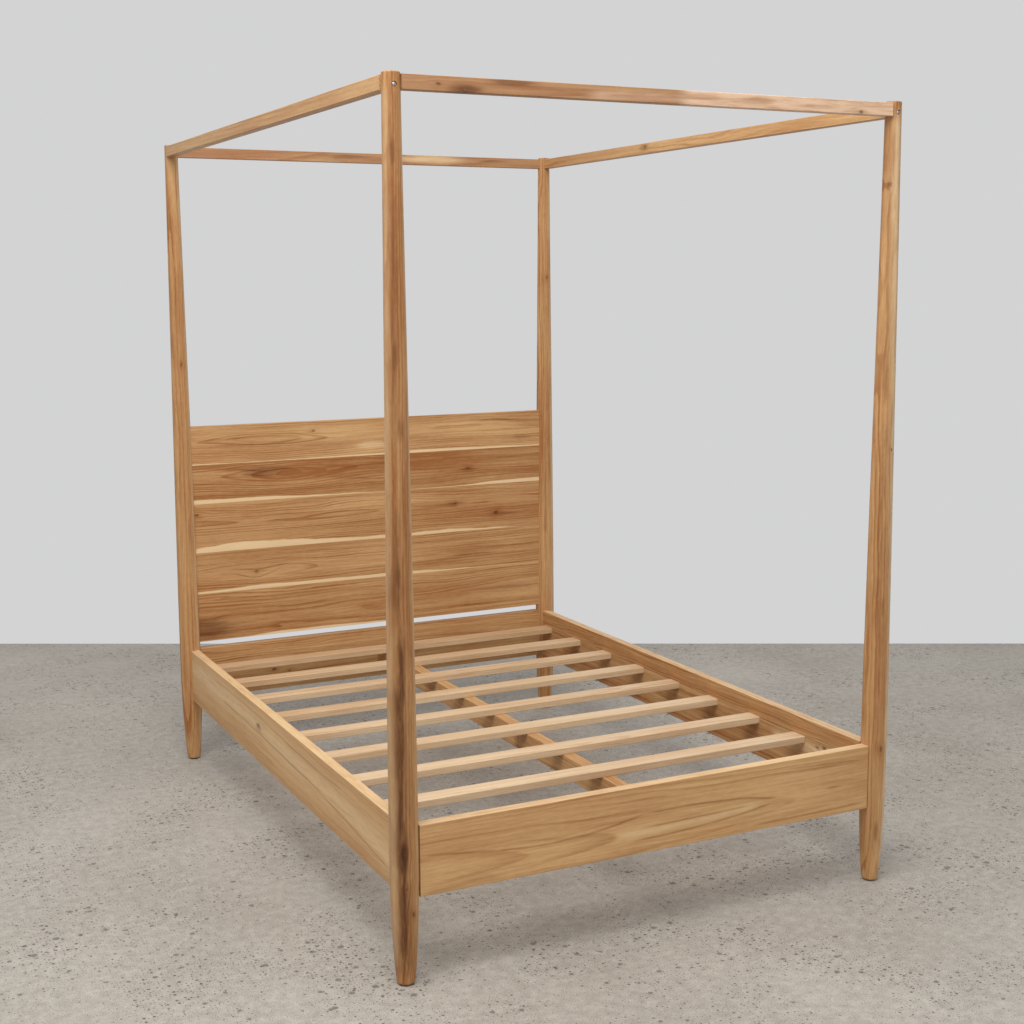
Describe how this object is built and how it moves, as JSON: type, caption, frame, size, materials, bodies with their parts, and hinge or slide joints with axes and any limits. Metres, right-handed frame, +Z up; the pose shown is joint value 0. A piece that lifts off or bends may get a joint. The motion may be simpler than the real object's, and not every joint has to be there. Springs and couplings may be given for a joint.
{
  "type": "four poster canopy bed",
  "caption": "Wooden four poster bed: turned tapered posts, board rails, slatted base with a centre beam, plank headboard and an open canopy frame bolted at the corners.",
  "frame": {"origin": "on the floor under the middle of the bed", "axes": "+X to the right as seen from the foot end, +Y from the foot end to the head end, +Z up"},
  "size_m": [1.5372, 2.1172, 2.2095],
  "materials": {
    "post_wood": "satin oiled solid pine, upright grain",
    "rail_wood": "satin oiled solid pine, edge-glued staves",
    "headboard_wood": "satin oiled solid pine boards with pale sapwood edges",
    "slat_wood": "plain planed pine",
    "beam_wood": "plain planed pine",
    "canopy_wood": "satin oiled solid pine",
    "dowel_wood": "plain beech",
    "glide_plastic": "matt black",
    "bolt_steel": "zinc plated",
    "insert_steel": "zinc plated"
  },
  "bodies": {
    "root": {"post_foot_left": "post_wood", "post_foot_right": "post_wood", "post_head_left": "post_wood", "post_head_right": "post_wood", "glide_foot_left": "glide_plastic", "glide_foot_right": "glide_plastic", "glide_head_left": "glide_plastic", "glide_head_right": "glide_plastic", "side_rail_left": "rail_wood", "side_rail_right": "rail_wood", "foot_rail": "rail_wood", "head_rail": "rail_wood", "headboard_board_1": "headboard_wood", "headboard_board_2": "headboard_wood", "headboard_board_3": "headboard_wood", "headboard_board_4": "headboard_wood", "headboard_board_5": "headboard_wood", "slat_1": "slat_wood", "slat_2": "slat_wood", "slat_3": "slat_wood", "slat_4": "slat_wood", "slat_5": "slat_wood", "slat_6": "slat_wood", "slat_7": "slat_wood", "slat_8": "slat_wood", "slat_9": "slat_wood", "centre_beam": "beam_wood", "canopy_rail_left": "canopy_wood", "canopy_rail_right": "canopy_wood", "canopy_rail_foot": "canopy_wood", "canopy_rail_head": "canopy_wood", "canopy_dowels": "dowel_wood", "canopy_inserts": "insert_steel", "canopy_bolt_foot_left": "bolt_steel", "canopy_bolt_foot_right": "bolt_steel", "canopy_bolt_head_left": "bolt_steel", "canopy_bolt_head_right": "bolt_steel"}
  },
  "joints": []
}
